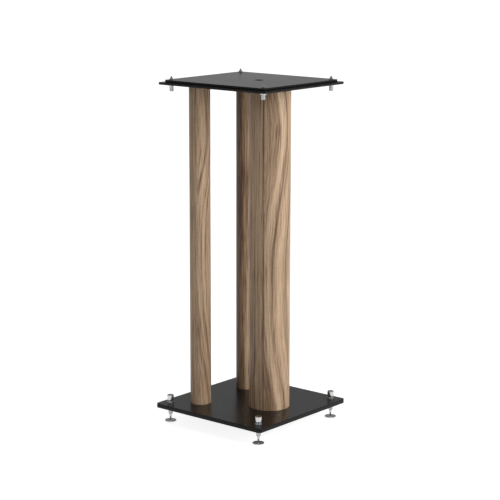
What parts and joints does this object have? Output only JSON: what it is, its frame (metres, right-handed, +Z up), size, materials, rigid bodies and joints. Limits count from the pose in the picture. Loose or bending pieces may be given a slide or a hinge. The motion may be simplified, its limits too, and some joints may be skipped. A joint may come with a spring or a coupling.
{
  "type": "speaker stand",
  "caption": "Speaker stand with a thick front column and thin rear columns between gloss black plates, levelling spikes in floor discs and upright spikes for the speaker.",
  "frame": {"origin": "on the floor below the middle of the base plate", "axes": "+Z up, -Y towards the front, where the thick column is, +X to the right of someone facing the front"},
  "size_m": [0.24, 0.24, 0.6128],
  "materials": {
    "gloss_black": "gloss black lacquer on steel plate",
    "walnut_veneer": "satin walnut veneer, grain along the column",
    "tube_steel": "drawn steel tube",
    "plug_steel": "turned steel",
    "dark_fastener": "blackened steel",
    "chrome": "polished chrome plate"
  },
  "bodies": {
    "stand": {"base_plate": "gloss_black", "lower_top_plate": "gloss_black", "upper_top_plate": "gloss_black", "front_column_veneer": "walnut_veneer", "front_column_tube": "tube_steel", "front_column_bottom_plug": "plug_steel", "front_column_top_plug": "plug_steel", "front_column_base_bolt": "dark_fastener", "front_column_top_screw": "dark_fastener", "rear_left_column_veneer": "walnut_veneer", "rear_left_column_tube": "tube_steel", "rear_left_column_bottom_plug": "plug_steel", "rear_left_column_top_plug": "plug_steel", "rear_left_column_base_bolt": "dark_fastener", "rear_left_column_top_screw": "dark_fastener", "rear_right_column_veneer": "walnut_veneer", "rear_right_column_tube": "tube_steel", "rear_right_column_bottom_plug": "plug_steel", "rear_right_column_top_plug": "plug_steel", "rear_right_column_base_bolt": "dark_fastener", "rear_right_column_top_screw": "dark_fastener"},
    "foot_front_left_disc": {"floor_disc_front_left": "chrome"},
    "foot_front_left_spike": {"levelling_spike_front_left": "chrome"},
    "foot_front_left_nut": {"foot_lock_nut_front_left": "chrome"},
    "top_front_left_spike": {"top_spike_front_left": "chrome"},
    "top_front_left_nut": {"top_lock_nut_front_left": "chrome"},
    "foot_front_right_disc": {"floor_disc_front_right": "chrome"},
    "foot_front_right_spike": {"levelling_spike_front_right": "chrome"},
    "foot_front_right_nut": {"foot_lock_nut_front_right": "chrome"},
    "top_front_right_spike": {"top_spike_front_right": "chrome"},
    "top_front_right_nut": {"top_lock_nut_front_right": "chrome"},
    "foot_rear_left_disc": {"floor_disc_rear_left": "chrome"},
    "foot_rear_left_spike": {"levelling_spike_rear_left": "chrome"},
    "foot_rear_left_nut": {"foot_lock_nut_rear_left": "chrome"},
    "top_rear_left_spike": {"top_spike_rear_left": "chrome"},
    "top_rear_left_nut": {"top_lock_nut_rear_left": "chrome"},
    "foot_rear_right_disc": {"floor_disc_rear_right": "chrome"},
    "foot_rear_right_spike": {"levelling_spike_rear_right": "chrome"},
    "foot_rear_right_nut": {"foot_lock_nut_rear_right": "chrome"},
    "top_rear_right_spike": {"top_spike_rear_right": "chrome"},
    "top_rear_right_nut": {"top_lock_nut_rear_right": "chrome"}
  },
  "joints": [
    {"name": "foot_front_left_height", "type": "slide", "parent": "stand", "child": "foot_front_left_disc", "axis": [0, 0, 1], "range_m": [0, 0.01]},
    {"name": "foot_front_left_turn", "type": "hinge", "parent": "foot_front_left_disc", "child": "foot_front_left_spike", "pos_m": [-0.1013, -0.1013, 0.001], "axis": [0, 0, 1], "range_deg": [0, 2880]},
    {"name": "foot_front_left_nut_slacken", "type": "hinge", "parent": "stand", "child": "foot_front_left_nut", "pos_m": [-0.1013, -0.1013, 0.0332], "axis": [0, 0, 1], "range_deg": [0, 90]},
    {"name": "top_front_left_spike_height", "type": "slide", "parent": "stand", "child": "top_front_left_spike", "axis": [0, 0, 1], "range_m": [-0.006, 0.006]},
    {"name": "top_front_left_nut_slacken", "type": "hinge", "parent": "stand", "child": "top_front_left_nut", "pos_m": [-0.0918, -0.1019, 0.5982], "axis": [0, 0, -1], "range_deg": [0, 90]},
    {"name": "foot_front_right_height", "type": "slide", "parent": "stand", "child": "foot_front_right_disc", "axis": [0, 0, 1], "range_m": [0, 0.01]},
    {"name": "foot_front_right_turn", "type": "hinge", "parent": "foot_front_right_disc", "child": "foot_front_right_spike", "pos_m": [0.1013, -0.1013, 0.001], "axis": [0, 0, 1], "range_deg": [0, 2880]},
    {"name": "foot_front_right_nut_slacken", "type": "hinge", "parent": "stand", "child": "foot_front_right_nut", "pos_m": [0.1013, -0.1013, 0.0332], "axis": [0, 0, 1], "range_deg": [0, 90]},
    {"name": "top_front_right_spike_height", "type": "slide", "parent": "stand", "child": "top_front_right_spike", "axis": [0, 0, 1], "range_m": [-0.006, 0.006]},
    {"name": "top_front_right_nut_slacken", "type": "hinge", "parent": "stand", "child": "top_front_right_nut", "pos_m": [0.0918, -0.1019, 0.5982], "axis": [0, 0, -1], "range_deg": [0, 90]},
    {"name": "foot_rear_left_height", "type": "slide", "parent": "stand", "child": "foot_rear_left_disc", "axis": [0, 0, 1], "range_m": [0, 0.01]},
    {"name": "foot_rear_left_turn", "type": "hinge", "parent": "foot_rear_left_disc", "child": "foot_rear_left_spike", "pos_m": [-0.1013, 0.1013, 0.001], "axis": [0, 0, 1], "range_deg": [0, 2880]},
    {"name": "foot_rear_left_nut_slacken", "type": "hinge", "parent": "stand", "child": "foot_rear_left_nut", "pos_m": [-0.1013, 0.1013, 0.0332], "axis": [0, 0, 1], "range_deg": [0, 90]},
    {"name": "top_rear_left_spike_height", "type": "slide", "parent": "stand", "child": "top_rear_left_spike", "axis": [0, 0, 1], "range_m": [-0.006, 0.006]},
    {"name": "top_rear_left_nut_slacken", "type": "hinge", "parent": "stand", "child": "top_rear_left_nut", "pos_m": [-0.0918, 0.1019, 0.5982], "axis": [0, 0, -1], "range_deg": [0, 90]},
    {"name": "foot_rear_right_height", "type": "slide", "parent": "stand", "child": "foot_rear_right_disc", "axis": [0, 0, 1], "range_m": [0, 0.01]},
    {"name": "foot_rear_right_turn", "type": "hinge", "parent": "foot_rear_right_disc", "child": "foot_rear_right_spike", "pos_m": [0.1013, 0.1013, 0.001], "axis": [0, 0, 1], "range_deg": [0, 2880]},
    {"name": "foot_rear_right_nut_slacken", "type": "hinge", "parent": "stand", "child": "foot_rear_right_nut", "pos_m": [0.1013, 0.1013, 0.0332], "axis": [0, 0, 1], "range_deg": [0, 90]},
    {"name": "top_rear_right_spike_height", "type": "slide", "parent": "stand", "child": "top_rear_right_spike", "axis": [0, 0, 1], "range_m": [-0.006, 0.006]},
    {"name": "top_rear_right_nut_slacken", "type": "hinge", "parent": "stand", "child": "top_rear_right_nut", "pos_m": [0.0918, 0.1019, 0.5982], "axis": [0, 0, -1], "range_deg": [0, 90]}
  ],
  "couplings": [
    {"joint": "foot_front_left_turn", "follows": "foot_front_left_height", "rad_per_m": 5026.5},
    {"joint": "foot_front_right_turn", "follows": "foot_front_right_height", "rad_per_m": 5026.5},
    {"joint": "foot_rear_left_turn", "follows": "foot_rear_left_height", "rad_per_m": 5026.5},
    {"joint": "foot_rear_right_turn", "follows": "foot_rear_right_height", "rad_per_m": 5026.5}
  ]
}
